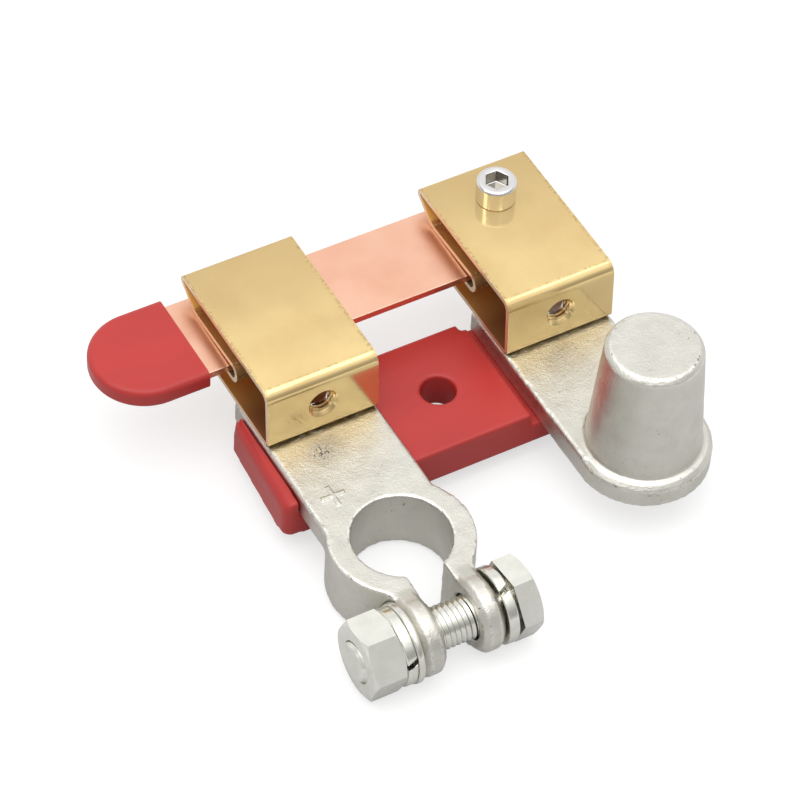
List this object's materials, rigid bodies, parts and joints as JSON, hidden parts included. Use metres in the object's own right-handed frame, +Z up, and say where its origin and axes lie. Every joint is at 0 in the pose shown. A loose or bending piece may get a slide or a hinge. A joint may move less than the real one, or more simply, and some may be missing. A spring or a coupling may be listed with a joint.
{
  "type": "battery knife disconnect switch",
  "caption": "Knife switch that mounts on a battery post: a copper blade on a vertical screw swings out of a sprung brass jaw to cut the current.",
  "frame": {"origin": "axis of the clamp's bore at the clamp ring's lower face", "axes": "+Z up along the clamp bore, +X along the closed blade towards the pivot, +Y towards the back edge of the jaws"},
  "size_m": [0.0947, 0.0852, 0.0362],
  "materials": {
    "red_moulding": "semi-gloss moulded insulating plastic",
    "tinned_casting": "tin-plated sand-cast grain",
    "brass_sheet": "satin-polished folded sheet",
    "copper_blade": "clean copper strip",
    "bright_nickel": "bright nickel plate",
    "zinc_plate": "bright zinc plate"
  },
  "bodies": {
    "root": {"base_plate": "red_moulding", "clamp_terminal": "tinned_casting", "post_terminal": "tinned_casting", "contact_jaw": "brass_sheet", "pivot_jaw": "brass_sheet", "pivot_screw": "bright_nickel", "pivot_nut": "bright_nickel", "contact_jaw_screw": "zinc_plate", "contact_jaw_nut": "zinc_plate", "pivot_jaw_screw": "zinc_plate", "pivot_jaw_nut": "zinc_plate", "clamp_bolt": "zinc_plate", "clamp_nut": "zinc_plate", "clamp_flat_washer": "zinc_plate", "clamp_spring_washer": "zinc_plate", "bolt_spring_washer": "zinc_plate"},
    "knife": {"blade": "copper_blade", "blade_grip": "red_moulding"}
  },
  "joints": [
    {"name": "blade_swing", "type": "hinge", "parent": "root", "child": "knife", "pos_m": [0.0479, 0.0526, 0.0187], "axis": [0, 0, -1], "range_deg": [0, 180]}
  ]
}
